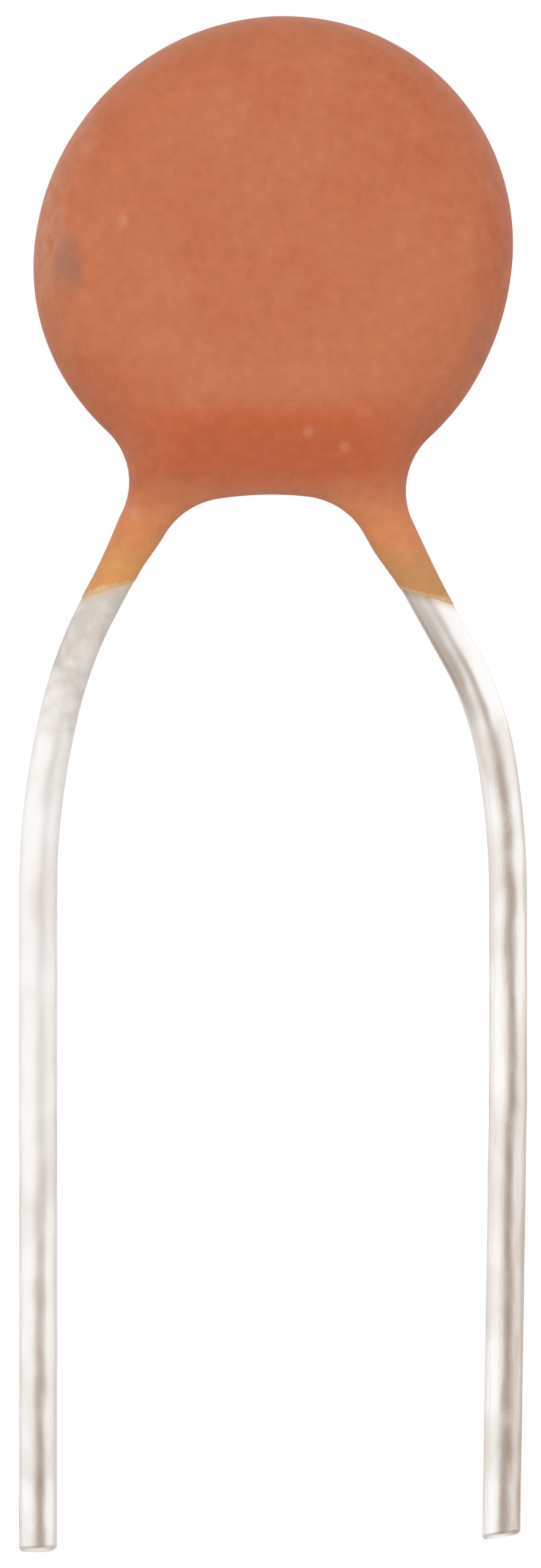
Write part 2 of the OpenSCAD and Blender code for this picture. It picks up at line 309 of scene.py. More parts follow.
def wireAxis(form):
    # the axis as if on the left, from the cut tip up to the end on the disc
    crank, crankRadius = wire["crankAngle"], wire["crankRadius"]
    crankRun = (wire["lift"] - 2 * crankRadius * (1 - cosDeg(crank))) / sinDeg(crank)
    crankLength = 2 * crankRadius * sinDeg(crank) + crankRun * cosDeg(crank)
    ease, tilt, gap = form["ease"], form["tilt"], wire["kneeGap"]
    easeRadius, knee = form["easeRadius"], form["knee"]
    kneeIn = (easeRadius * (1 - cosDeg(ease)) + gap * sinDeg(ease)
              + knee * (cosDeg(ease) - cosDeg(tilt)))
    kneeRise = (easeRadius * sinDeg(ease) + gap * cosDeg(ease)
                + knee * (sinDeg(tilt) - sinDeg(ease)))
    kneeX = wire["pitch"] / 2 - kneeIn
    kneeDrop = (kneeX + form["aim"]) / tanDeg(tilt)
    slope = kneeX * sinDeg(tilt) + kneeDrop * cosDeg(tilt)
    bendZ = wire["discHeight"] - kneeDrop - kneeRise
    start = (-wire["pitch"] / 2, 0, -wire["toeDepth"])
    tipRise = wire["diameter"] / 2 * tanDeg(abs(form["cut"]))

    down = WireForming(start, (0, 0, -1))
    if form["toeAngle"]:
        down.bend(form["toeAngle"], wire["toeRadius"], (1, 0, 0))
    down.straight((form["tail"] - tipRise + down.at.z) / -down.heading.z)

    up = WireForming(start, (0, 0, 1))
    up.straight(wire["toeDepth"] + bendZ)
    across = up.bend(ease, easeRadius, (1, 0, 0))
    up.straight(gap)
    up.bend(tilt - ease, knee, across)
    up.straight(slope - wire["ceramicRadius"] - wire["crankClear"] - crankLength)
    across = up.bend(crank, crankRadius, (0, -1, 0))
    up.straight(crankRun)
    up.bend(crank, crankRadius, -across)
    up.straight(wire["crankClear"] + wire["overlap"])
    return list(reversed(down.points)) + up.points[1:]


def wireTree():
    tree = bpy.data.node_groups.new("wireSweep", "GeometryNodeTree")
    names = treeInputs(tree, {
        "Radius": "Float", "Sides": "Int", "Cut slope": "Float", "Cut reach": "Float",
        "Tip x": "Float", "Waviness": "Float", "Wave length": "Float", "Seed": "Float",
        "Finish": "Material"})
    given = addNode(tree, "NodeGroupInput").outputs
    axis = addNode(tree, "GeometryNodeMeshToCurve", {"Mesh": given["Geometry"]}).outputs[0]
    circle = addNode(tree, "GeometryNodeCurvePrimitiveCircle", {
        "Resolution": given["Sides"], "Radius": given["Radius"]}).outputs[0]
    turn = addNode(tree, "GeometryNodeSplineParameter").outputs["Factor"]
    circle = storePoints(tree, circle, "around", turn)
    tube = addNode(tree, "GeometryNodeCurveToMesh", {
        "Curve": axis, "Profile Curve": circle, "Scale": readPoints(tree, "girth"),
        "Fill Caps": True}).outputs[0]

    # place on the wire's own surface: round it and along it
    along = readPoints(tree, "along")
    angle = times(tree, readPoints(tree, "around"), 2 * math.pi)
    place = combine(
        tree, X=times(tree, calc(tree, "COSINE", angle), given["Radius"]),
        Y=times(tree, calc(tree, "SINE", angle), given["Radius"]),
        Z=calc(tree, "ADD", along, given["Seed"]))
    tube = storePoints(tree, tube, "wirePlace", place, "FLOAT_VECTOR")

    # slant of the cut end, fading out up the wire
    x = separate(tree, addNode(tree, "GeometryNodeInputPosition").outputs[0])["X"]
    fade = calc(tree, "SUBTRACT", 1.0, calc(tree, "DIVIDE", along, given["Cut reach"]), clamp=True)
    slant = times(tree, calc(tree, "SUBTRACT", x, given["Tip x"]), given["Cut slope"], fade)
    tube = shifted(tree, tube, combine(tree, Z=slant))

    # slight waves of the dipped tin
    stored = readPoints(tree, "wirePlace", "FLOAT_VECTOR")
    wave = waves(tree, stored, given["Wave length"], given["Waviness"], wire["waveDetail"])
    finishTree(tree, swollen(tree, tube, wave), given["Finish"])
    return tree, names


# a "...Ramp" is low, high and, where it isn't 0 and 1, what it runs from and to; heights are in z
tin = {
    # of the colours on the next line, the brownish grey third one is painted shade for the right lead's
    # outer side
    "bright": linear(255, 253, 250), "dull": linear(245, 239, 233), "rightShade": linear(208, 191, 179),
    "scuff": (linear(230, 221, 212), linear(213, 204, 195)), "stain": linear(222, 190, 146),
    # noises as scale, detail and roughness, the first two drawn out along the wire
    "patch": (2.4, 1.0, 0.5), "streak": (6.0, 3.0, 0.6), "blotch": (4.0, 2.0, 0.5), "stretch": 0.5,
    "dullStreak": 0.2, "dullRamp": (0.42, 0.66), "roughness": (0.17, 0.28),
    "topRamp": (2.3, 3.3), "topRoughness": 0.34,
    # the side, height and patch ramps on the next two lines place the right lead's painted shade
    "rightShadeSideRamp": (2.48, 2.64), "rightShadeHeightRamp": (-6.0, -0.4, 1.0, 0.0),
    "rightShadePatchRamp": (0.3, 0.6, 1.0, 0.5),
    "edgeSpread": 2.0, "frostRamp": (-6.5, -1.0), "frostRoughness": 0.34, "frostMetal": 0.45,
    "tipFrostRamp": (0.02, 0.07, 1.0, 0.0),
    "scuffRamp": (1.4, 3.0), "scuffBlotchRamp": (0.38, 0.62), "scuffRoughness": 0.65,
    "scuffMetal": 0.0, "stainRamp": (-0.02, 0.08, 0.75, 0.0), "stainSpread": -0.05,
    "bumpStreak": 0.06, "bumpStrength": 1.0, "bumpDepth": 0.07,
    "calmHeight": (0.8, 2.2), "calmBump": 0.2,
}


def tinnedMaterial():
    material, tree, shader = newMaterial("tinnedWire")
    place = meshValue(tree, "wirePlace", "Vector")
    longways = addNode(tree, "ShaderNodeMapping", {
        "Vector": place, "Scale": (1.0, 1.0, tin["stretch"])}).outputs[0]
    patch = noise(tree, longways, *tin["patch"])
    streak = noise(tree, longways, *tin["streak"])
    blotch = noise(tree, place, *tin["blotch"])
    dull = ramp(tree, mixFloat(tree, tin["dullStreak"], patch, streak), *tin["dullRamp"])
    colour = mixColour(tree, dull, tin["bright"], tin["dull"])
    rough = mixFloat(tree, dull, *tin["roughness"])
    spot = objectMm(tree)
    xyz = separate(tree, spot)
    x, z = xyz["X"], xyz["Z"]
    rough = mixFloat(tree, ramp(tree, z, *tin["topRamp"]), rough, tin["topRoughness"])

    # painted shade: the right lead's outer side is painted a darker tone towards its tip, broken up by
    # patches
    rightShade = times(tree, ramp(tree, x, *tin["rightShadeSideRamp"]), ramp(tree, z, *tin["rightShadeHeightRamp"]),
                 ramp(tree, patch, *tin["rightShadePatchRamp"]))
    colour = mixColour(tree, rightShade, colour, tin["rightShade"])

    # the left lead is frosted towards the top, and rubbed grey below the coat
    onLeft = calc(tree, "LESS_THAN", x, 0.0)
    frostEdge = ragged(tree, z, patch, tin["edgeSpread"])
    scuffEdge = ragged(tree, z, blotch, tin["edgeSpread"])
    frost = times(tree, ramp(tree, frostEdge, *tin["frostRamp"]), onLeft)
    tipFrost = ramp(tree, meshValue(tree, "along"), *tin["tipFrostRamp"])
    frost = calc(tree, "MAXIMUM", frost, tipFrost)  # both cut tips are frosted too
    scuff = times(tree, ramp(tree, scuffEdge, *tin["scuffRamp"]), onLeft)
    scuffed = mixColour(tree, ramp(tree, blotch, *tin["scuffBlotchRamp"]), *tin["scuff"])
    colour = mixColour(tree, scuff, colour, scuffed)
    rough = mixFloat(tree, frost, rough, tin["frostRoughness"])
    rough = mixFloat(tree, scuff, rough, tin["scuffRoughness"])
    metal = mixFloat(tree, frost, 1.0, tin["frostMetal"])
    feed(tree, shader.inputs["Metallic"], mixFloat(tree, scuff, metal, tin["scuffMetal"]))

    # a trace of resin just below the coat's ends
    past = mixFloat(tree, onLeft, pastCoat(tree, spot, "right"), pastCoat(tree, spot, "left"))
    past = calc(tree, "ADD", past, times(tree, blotch, tin["stainSpread"]))
    colour = mixColour(tree, ramp(tree, past, *tin["stainRamp"]), colour, tin["stain"])

    # the right lead is smoother near the coat
    calmed = ramp(tree, z, *tin["calmHeight"], tin["bumpStrength"], tin["calmBump"])
    calmed = mixFloat(tree, onLeft, calmed, tin["bumpStrength"])
    height = mixFloat(tree, tin["bumpStreak"], patch, streak)
    dressShader(tree, shader, colour, rough, height, calmed, tin["bumpDepth"])
    return material


def pastCoat(tree, place, name):
    # how far a point lies down the wire from the coat's slanted end
    side = CoatSide(name)
    end, slope = side.onLead(side.legEnd), tanDeg(side.slant)
    downWire = (side.down - slope * side.outward).normalized()
    way = (downWire.x * wire[name]["hand"], 0.0, downWire.y)
    reach = vectorCalc(tree, "DOT_PRODUCT", place, way, output="Value")
    return calc(tree, "SUBTRACT", reach, end.dot(downWire) + wire["discHeight"] * downWire.y)


def makeWires():
    tree, names = wireTree()
    finish = tinnedMaterial()
    chamfer, pieces = wire["chamfer"], []
    for side in ("left", "right"):
        form = wire[side]
        hand = form["hand"]
        axis = [Vector((p.x * hand, p.y * hand, p.z)) for p in wireAxis(form)]
        axis.insert(1, axis[0] + (axis[1] - axis[0]).normalized() * chamfer)
        axis.insert(-1, axis[-1] + (axis[-2] - axis[-1]).normalized() * chamfer)
        along = [0.0]
        for a, b in zip(axis, axis[1:]):
            along.append(along[-1] + (b - a).length)
        girth = [1.0] * len(axis)
        girth[0] = girth[-1] = 1 - chamfer / wire["diameter"] * 2
        base = bpy.data.meshes.new(side + "Axis")
        base.from_pydata(axis, [(i, i + 1) for i in range(len(axis) - 1)], [])
        pointValues(base, "along", along)
        pointValues(base, "girth", girth)
        piece = realise(side + "Wire", base, tree, names, {
            "Radius": wire["diameter"] / 2, "Sides": wire["sides"],
            "Cut slope": tanDeg(form["cut"]) * hand, "Cut reach": wire["shearReach"],
            "Tip x": axis[0].x, "Waviness": wire["waviness"], "Wave length": wire["waveLength"],
            "Seed": form["seed"], "Finish": finish})
        for polygon in piece.data.polygons:
            polygon.use_smooth = len(polygon.vertices) == 4  # the cut ends stay flat
        pieces.append(piece)
    return pieces


# dipped coat: a flat sheet of the outline, which a tree swells into the coat

coat = {
    "radius": 2.592, "face": 1.0, "rim": 0.9, "taperPast": 0.3,
    "oval": 0.25, "ovalLean": 46,  # how much longer than wide the disc is, and which way
    "neck": 0.76, "corner": 0.8, "arch": 3.85, "archRise": 0.02,
    "legRadius": 0.261, "legEndRadius": 0.213,
    "lip": 0.03, "lipInside": 0.9, "lipClosed": 0.0005,  # lipInside: a share of the wire's radius
    "unevenness": 0.02, "unevenLength": 1.3, "peel": 0.0025, "peelLength": 0.22,
    "waveDetail": 1.0, "legCalm": 0.8, "seed": 7.0, "weld": 0.001,
    "shoulderSteps": 14, "neckSteps": 34, "legSteps": 26, "lipSteps": 5, "archSteps": 56,
    "edgeSteps": 230, "noseSteps": 28, "faceSteps": 12,
    "left": {"leg": 1.41, "slant": 45, "thinning": 0.8},
    "right": {"leg": 1.41, "slant": 46, "thinning": 1.0},
}


def flat(x, z):
    return Vector((x, z))


def polar(angle):
    return flat(cosDeg(angle), sinDeg(angle))


def bearing(v):
    return math.degrees(math.atan2(v.y, v.x))


def acrossMiddle(v):
    return flat(-v.x, v.y)


def between(a, b, t):
    return a + (b - a) * t


def smooth(t):
    t = max(0.0, min(1.0, t))
    return t * t * (3 - 2 * t)


def eased(t):
    # sets off at once and comes to rest softly
    t = max(0.0, min(1.0, t))
    return (smooth(t) + t * (2 - t)) / 2


archCentre = flat(0, coat["archRise"] - coat["radius"] - coat["arch"])


class CoatSide:
    # the outline's circles on one side, as (x, z) from the disc's centre and as if on the left;
    # a name that ends in S is a distance down the lead's line

    def __init__(self, name):
        tilt = wire[name]["tilt"]
        self.slant, self.thinning = coat[name]["slant"], coat[name]["thinning"]
        self.legEnd = coat["radius"] + coat[name]["leg"]
        self.down = flat(-sinDeg(tilt), -cosDeg(tilt))
        self.outward = flat(-cosDeg(tilt), sinDeg(tilt))
        self.miss = wire[name]["aim"] * cosDeg(tilt)  # how far that line passes from the centre
        leg, neck, corner = coat["legRadius"], coat["neck"], coat["corner"]
        neckOff = leg + neck - self.miss
        self.neckS = math.sqrt((coat["radius"] + neck) ** 2 - neckOff ** 2)
        self.neckCentre = self.neckS * self.down + neckOff * self.outward
        cornerOff = leg + corner + self.miss
        away = -cornerOff * self.outward - archCentre
        run = away.dot(self.down)
        self.cornerS = -run - math.sqrt(
            run * run - away.dot(away) + (coat["arch"] - corner) ** 2)
        self.cornerCentre = self.cornerS * self.down - cornerOff * self.outward
        self.neckTurn = bearing(-self.neckCentre) - bearing(-self.outward)
        cornerTurn = bearing(self.outward) - bearing(self.cornerCentre - archCentre)
        self.legS = max(self.neckS, self.cornerS)
        self.flatS = self.cornerS - (leg + corner) * tanDeg(cornerTurn)
        # the curves beside the leg, on its outer side (1) and its inner side (-1)
        self.curves = {
            1: {"centre": self.neckCentre, "radius": neck, "endS": self.neckS},
            -1: {"centre": self.cornerCentre, "radius": corner, "endS": self.cornerS}}

    def onLead(self, s):
        return s * self.down - self.miss * self.outward

    def toCentre(self, k):
        # spine of the k-th rib past the leg's own: from the lead's line to the disc's centre
        return self.onLead(self.flatS) * (1 - smooth(k / coat["shoulderSteps"]))

    def turnAt(self, s, out):
        # how far round a curve it is met by the rib from a place on the lead's line
        curve = self.curves[out]
        return math.degrees(math.atan((curve["endS"] - s) / (coat["legRadius"] + curve["radius"])))

    def curveRib(self, out, turn, spine):
        centre, radius = self.curves[out]["centre"], self.curves[out]["radius"]
        inward = polar(bearing(-out * self.outward) + out * turn)
        ray = (coat["legRadius"] + radius) / cosDeg(turn) - radius
        return Rib(centre + radius * inward, inward, min(coat["rim"], ray), spine)

    def sideRib(self, s, out):
        # a rib from the lead's line to a curve, or straight out once that curve has ended
        spine, leg = self.onLead(s), coat["legRadius"]
        if s > self.curves[out]["endS"]:
            return Rib(spine + out * leg * self.outward, -out * self.outward, leg, spine)
        return self.curveRib(out, self.turnAt(s, out), spine)

    def legRib(self, t, past, radius, out):
        # a rib t of the way down the leg, leaning over more and more to the slant of its end
        spine = self.onLead(between(self.legS, self.legEnd, t) + past)
        lean = out * tanDeg(self.slant) * radius * t * t * self.down
        edge = spine + out * radius * self.outward + lean
        return Rib(edge, -out * self.outward - lean / radius, radius, spine, radius, t)

    def ribs(self):
        neckSteps, legSteps, lipSteps = coat["neckSteps"], coat["legSteps"], coat["lipSteps"]
        shoulders, shoulderTurn = coat["shoulderSteps"], self.turnAt(self.flatS, 1)
        legRadius, endRadius = coat["legRadius"], coat["legEndRadius"]
        spines = [between(self.legS, self.flatS, k / neckSteps) for k in range(neckSteps, -1, -1)]
        legs = []  # share of the leg, distance past it, radius
        for k in range(1, legSteps + 1):
            thinned = eased(k / legSteps / self.thinning)
            legs.append((k / legSteps, 0, between(legRadius, endRadius, thinned)))
        lipEnd = wire["diameter"] / 2 * coat["lipInside"]  # the rounded lip closes inside the wire
        for k in range(1, lipSteps + 1):
            turn = 90 * k / lipSteps
            legs.append((1, coat["lip"] * sinDeg(turn), between(lipEnd, endRadius, cosDeg(turn))))
        legs.append((1, coat["lip"], coat["lipClosed"]))
        return (
            [self.curveRib(1, between(shoulderTurn, self.neckTurn, k / shoulders), self.toCentre(k))
             for k in range(shoulders, 0, -1)]
            + [self.sideRib(s, 1) for s in spines]
            + [self.legRib(*leg, 1) for leg in legs]
            + [self.legRib(*leg, -1) for leg in reversed(legs)]
            + [self.sideRib(s, -1) for s in reversed(spines)])


class Rib:
    # a row of points from the spine out to the coat's edge, ending along the edge's own normal

    def __init__(self, edge, inward, nose, spine, leg=0.0, share=0.0):
        self.edge, self.inward, self.nose, self.spine = edge, inward, nose, spine
        self.leg, self.share = leg, share  # radius on a leg, and how far down the leg

    def mirrored(self):
        return Rib(acrossMiddle(self.edge), acrossMiddle(self.inward), self.nose,
                   acrossMiddle(self.spine), self.leg, self.share)

    def points(self):
        # (place, depth from the edge): across the face, then over the rounded nose,
        # closer together towards the edge
        faceSteps, noseSteps = coat["faceSteps"], coat["noseSteps"]
        faceEnd = self.edge + self.inward * self.nose
        row = [(between(self.spine, faceEnd, k / faceSteps), self.nose) for k in range(faceSteps)]
        for k in range(noseSteps + 1):
            depth = self.nose * (1 - sinDeg(90 * k / noseSteps))
            row.append((self.edge + self.inward * depth, depth))
        return row


def coatRibs():
    # once round the outline: left side, arch, right side, edge of the disc
    left, right = CoatSide("left"), CoatSide("right")
    archFrom = bearing(left.cornerCentre - archCentre)
    archTo = 180 - bearing(right.cornerCentre - archCentre)
    edgeFrom = -180 - bearing(right.neckCentre)
    edgeTo = bearing(left.neckCentre) + 360
    archSteps, edgeSteps, shoulders = coat["archSteps"], coat["edgeSteps"], coat["shoulderSteps"]
    centre, ribs = flat(0, 0), left.ribs()
    for k in range(1, archSteps):
        out = polar(between(archFrom, archTo, k / archSteps))
        spine, fromRight = centre, archSteps - k
        if k < shoulders:
            spine = left.toCentre(k)
        elif fromRight < shoulders:
            spine = acrossMiddle(right.toCentre(fromRight))
        ribs.append(Rib(archCentre + coat["arch"] * out, out, coat["rim"], spine))
    ribs += [rib.mirrored() for rib in reversed(right.ribs())]
    for k in range(1, edgeSteps):
        out = polar(between(edgeFrom, edgeTo, k / edgeSteps))
        ribs.append(Rib(coat["radius"] * out, -out, coat["rim"], centre))
    return ribs


def coatSheet():
    places, faces = [], []
    values = {name: [] for name in ("level", "depth", "nose", "leg", "legShare")}
    longWay, wideWay = polar(coat["ovalLean"]), polar(coat["ovalLean"] + 90)
    mostStretch = coat["oval"] / 4 / coat["radius"]  # fades out towards the legs
    ribs = coatRibs()
    row = coat["faceSteps"] + coat["noseSteps"] + 1
    for rib in ribs:
        for p, depth in rib.points():
            stretch = mostStretch * smooth(1 + p.y / coat["radius"])
            q = p + stretch * (p.dot(longWay) * longWay - p.dot(wideWay) * wideWay)
            places.append((q.x, 0.0, q.y + wire["discHeight"]))
            for name, value in zip(values, (p.y, depth, rib.nose, rib.leg, rib.share)):
                values[name].append(value)
    for i in range(len(ribs)):
        for k in range(row - 1):
            a, b = i * row + k, (i + 1) % len(ribs) * row + k
            faces.append((a, a + 1, b + 1, b))
    sheet = bpy.data.meshes.new("coatSheet")
    sheet.from_pydata(places, [], faces)
    for name in values:
        pointValues(sheet, name, values[name])
    return sheet


def coatTree():
    tree = bpy.data.node_groups.new("coatSwell", "GeometryNodeTree")
    names = treeInputs(tree, {
        "Half thickness": "Float", "Rim reach": "Float", "Leg radius": "Float",
        "Thin from": "Float", "Thin to": "Float", "Unevenness": "Float", "Uneven length": "Float",
        "Peel": "Float", "Peel length": "Float", "Seed": "Float", "Finish": "Material"})
    given = addNode(tree, "NodeGroupInput").outputs

    # half the thickness at each point: a rounded rim, thinner towards the legs, round on a leg
    leg = readPoints(tree, "leg")
    onLeg = calc(tree, "GREATER_THAN", leg, 0.0)
    level = readPoints(tree, "level")
    thinned = ramp(tree, level, given["Thin to"], given["Thin from"], 1.0, 0.0)
    half = mixFloat(tree, thinned, given["Half thickness"], given["Leg radius"])
    half = mixFloat(tree, onLeg, half, leg)
    rim = mixFloat(tree, thinned, given["Rim reach"], given["Leg radius"])
    reach = mixFloat(tree, onLeg, calc(tree, "MINIMUM", readPoints(tree, "nose"), rim), leg)
    rise = calc(tree, "DIVIDE", readPoints(tree, "depth"), reach)
    rise = calc(tree, "SUBTRACT", 1.0, rise, clamp=True)
    rounded = calc(tree, "SQRT", calc(tree, "SUBTRACT", 1.0, times(tree, rise, rise)))
    swell = times(tree, half, rounded)

    front = shifted(tree, given["Geometry"], combine(tree, Y=times(tree, swell, -1.0)))
    rear = shifted(tree, given["Geometry"], combine(tree, Y=swell))
    rear = addNode(tree, "GeometryNodeFlipFaces", {"Mesh": rear}).outputs[0]
    both = addNode(tree, "GeometryNodeJoinGeometry")
    for sheet in (rear, front):
        tree.links.new(sheet, both.inputs[0])
    shell = addNode(tree, "GeometryNodeMergeByDistance", {
        "Geometry": both.outputs[0], "Distance": coat["weld"]}).outputs[0]

    # a dipped coat is never quite even: broad swells, calmer on the legs, and a fine peel
    place = addNode(tree, "GeometryNodeInputPosition").outputs[0]
    place = vectorCalc(tree, "ADD", place, combine(tree, X=given["Seed"]))
    detail = coat["waveDetail"]
    broad = waves(tree, place, given["Uneven length"], given["Unevenness"], detail)
    calm = calc(tree, "SUBTRACT", 1.0, times(tree, onLeg, coat["legCalm"]))
    fine = waves(tree, place, given["Peel length"], given["Peel"], detail)
    shell = swollen(tree, shell, calc(tree, "ADD", times(tree, broad, calm), fine))
    shell = addNode(tree, "GeometryNodeSetShadeSmooth", {
        "Geometry": shell, "Shade Smooth": True}).outputs[0]
    finishTree(tree, shell, given["Finish"])
    return tree, names


# ramps and noises are written as for the tin
resin = {
    "body": linear(199, 117, 79), "warm": linear(193, 103, 67), "pale": linear(203, 125, 89),
    # on the next line, low is painted shade for the lower band, darker and redder, and rim is the
    # painted sheen colour of the left rim's patches
    "low": linear(199, 97, 54), "leg": linear(216, 138, 90), "rim": linear(207, 141, 106),
    "ochre": linear(219, 154, 92), "rightOchre": linear(203, 145, 92),
    "fringe": linear(222, 196, 158), "bluishDark": linear(148, 110, 96), "speck": linear(222, 170, 136),
    "mottle": (0.75, 4.0, 0.6), "cloud": (1.65, 3.0, 0.6), "cloudShift": (11.0, 5.0, 3.0),
    "grain": (7.0, 3.0, 0.6), "patchBreakup": (4.5, 2.0, 0.6),
    "warmRamp": (0.45, 0.72, 0.0, 0.6), "paleRamp": (0.5, 0.75, 0.0, 0.6), "wobble": 0.5,
    # the lower band's ramps on the next two lines place that painted shade
    "lowShadeRamp": (5.1, 5.5, 0.8, 0.0), "lowShadeWidthRamp": (0.9, 1.6, 1.0, 0.3),
    "lowShadeEdgeRamp": (4.4, 4.66, 0.2, 1.0),
    "legRamp": (3.95, 4.58, 1.0, 0.0), "ochreRamp": (3.5, 3.95, 1.0, 0.0),
    "fringeRamp": (0.9, 1.0, 0.0, 0.6), "fringeSpread": 0.2,
    "patchRamp": (0.36, 0.62, 0.35, 1.35), "frontRamp": (0.0, 0.7, 1.0, 0.0), "patchReach": 1.6,
    # x, z, half width, half height, strength, colour; the two rim patches by the left rim are painted
    # sheen, the warm one by the right rim is painted shade
    "patchesAndPaintedLight": [(1.4, 8.5, 0.9, 0.8, 0.5, "warm"), (-2.5, 7.2, 0.3, 0.9, 0.55, "rim"),
               (2.55, 7.1, 0.42, 1.1, 0.7, "warm"), (-2.15, 8.3, 0.3, 0.45, 0.4, "rim"),
               (-2.2, 6.78, 0.16, 0.34, 0.5, "bluishDark"), (2.26, 5.95, 0.14, 0.3, 0.22, "bluishDark")],
    # x, z, reach
    "specks": [(-1.61, 7.27, 0.1), (0.38, 5.01, 0.1), (0.77, 4.85, 0.09), (-1.49, 4.16, 0.12)],
    "speckStrength": 0.28, "shadeRamp": (0.3, 0.7, 0.95, 1.05),
    "roughness": (0.42, 0.58), "specular": 0.25, "bumpStrength": 0.15, "bumpDepth": 0.01,
}


def squaredShare(tree, value, middle, reach):
    share = calc(tree, "DIVIDE", calc(tree, "SUBTRACT", value, middle), reach)
    return calc(tree, "POWER", share, 2.0)


def coatMaterial():
    material, tree, shader = newMaterial("dippedResin")
    place = objectMm(tree)
    x, y, z = separate(tree, place)
    mottle = noise(tree, place, *resin["mottle"])
    cloud = noise(tree, vectorCalc(tree, "ADD", place, resin["cloudShift"]), *resin["cloud"])
    grain = noise(tree, place, *resin["grain"])
    colour = mixColour(tree, ramp(tree, mottle, *resin["warmRamp"]), resin["body"], resin["warm"])
    colour = mixColour(tree, ramp(tree, cloud, *resin["paleRamp"]), colour, resin["pale"])

    # the lower band is painted shade, darker and redder where the rim turns down; the thin coat on the
    # wires is ochre; both with a soft uneven edge
    height = ragged(tree, z, cloud, resin["wobble"])
    aside = calc(tree, "ABSOLUTE", x)
    low = times(tree, ramp(tree, height, *resin["lowShadeRamp"]), ramp(tree, aside, *resin["lowShadeWidthRamp"]),
                ramp(tree, height, *resin["lowShadeEdgeRamp"]))
    colour = mixColour(tree, low, colour, resin["low"])
    colour = mixColour(tree, ramp(tree, height, *resin["legRamp"]), colour, resin["leg"])
    onRight = calc(tree, "GREATER_THAN", x, 0.0)
    ochre = mixColour(tree, onRight, resin["ochre"], resin["rightOchre"])
    colour = mixColour(tree, ramp(tree, height, *resin["ochreRamp"]), colour, ochre)

    # the coat thins out to a pale fringe at its ends
    share = ragged(tree, meshValue(tree, "legShare"), grain, resin["fringeSpread"])
    colour = mixColour(tree, ramp(tree, share, *resin["fringeRamp"]), colour, resin["fringe"])

    # soft patches on the front: a warm one high on the right, painted shade as a darker warm patch by
    # the right rim, painted sheen as paler patches by the left rim, and two bluish ones; then pale
    # specks
    patchy = ramp(tree, noise(tree, place, *resin["patchBreakup"]), *resin["patchRamp"])
    onFront = ramp(tree, y, *resin["frontRamp"])
    for spotX, spotZ, wide, high, strength, tint in resin["patchesAndPaintedLight"]:
        away = calc(tree, "ADD", squaredShare(tree, x, spotX, wide), squaredShare(tree, z, spotZ, high))
        away = ragged(tree, away, cloud, resin["wobble"])
        spot = times(tree, ramp(tree, away, 0.0, resin["patchReach"], strength, 0.0), onFront, patchy)
        colour = mixColour(tree, spot, colour, resin[tint])
    facing, flatPlace = calc(tree, "LESS_THAN", y, 0.0), combine(tree, X=x, Z=z)
    for spotX, spotZ, reach in resin["specks"]:
        away = vectorCalc(tree, "DISTANCE", flatPlace, (spotX, 0.0, spotZ), output="Value")
        spot = times(tree, ramp(tree, away, 0.0, reach, resin["speckStrength"], 0.0), facing)
        colour = mixColour(tree, spot, colour, resin["speck"])

    shade = ramp(tree, grain, *resin["shadeRamp"])
    grey = addNode(tree, "ShaderNodeCombineColor", {
        "Red": shade, "Green": shade, "Blue": shade}).outputs[0]
    colour = mixColour(tree, 1.0, colour, grey, "MULTIPLY")
    shader.inputs["Specular IOR Level"].default_value = resin["specular"]
    dressShader(tree, shader, colour, mixFloat(tree, cloud, *resin["roughness"]), grain,
                resin["bumpStrength"], resin["bumpDepth"])
    return material


def makeCoat():
    tree, names = coatTree()
    return realise("dippedCoat", coatSheet(), tree, names, {
        "Half thickness": coat["face"], "Rim reach": coat["rim"], "Leg radius": coat["legRadius"],
        "Thin from": coat["rim"] - coat["radius"], "Thin to": -coat["radius"] - coat["taperPast"],
        "Unevenness": coat["unevenness"], "Uneven length": coat["unevenLength"],
        "Peel": coat["peel"], "Peel length": coat["peelLength"], "Seed": coat["seed"],
        "Finish": coatMaterial()})


# finishes for the CAD nodes inside the coat

firedCeramic = {"colour": linear(214, 196, 158), "dark": linear(186, 166, 128), "metal": 0.0,
                "rough": (0.6, 0.8), "scale": 6.0}
firedSilver = {"colour": linear(212, 208, 198), "dark": linear(178, 172, 160), "metal": 1.0,
               "rough": (0.4, 0.6), "scale": 9.0}
greySolder = {"colour": linear(176, 178, 182), "dark": linear(140, 142, 148), "metal": 1.0,
              "rough": (0.3, 0.5), "scale": 5.0}
inner = {
    "finishes": {"ceramic_disc": firedCeramic, "front_electrode": firedSilver,
                 "rear_electrode": firedSilver, "front_solder": greySolder,
                 "rear_solder": greySolder},
    "detail": 4.0, "roughness": 0.6, "darkRamp": (0.35, 0.7), "bumpStrength": 0.2, "bumpDepth": 0.01,
}


def dressInside():
    for name, finish in inner["finishes"].items():
        material, tree, shader = newMaterial(name + "Finish")
        spots = noise(tree, objectMm(tree), finish["scale"], inner["detail"], inner["roughness"])
        dark = ramp(tree, spots, *inner["darkRamp"])
        dressShader(tree, shader, mixColour(tree, dark, finish["colour"], finish["dark"]),
                    mixFloat(tree, dark, *finish["rough"]), spots,
                    inner["bumpStrength"], inner["bumpDepth"])
        shader.inputs["Metallic"].default_value = finish["metal"]
        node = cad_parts[name]
        node.data.materials.clear()
        node.data.materials.append(material)
    print("inner pieces dressed:", len(inner["finishes"]))


# studio: white floor and surround, one soft lamp, long lens

white = (1.0, 1.0, 1.0, 1.0)

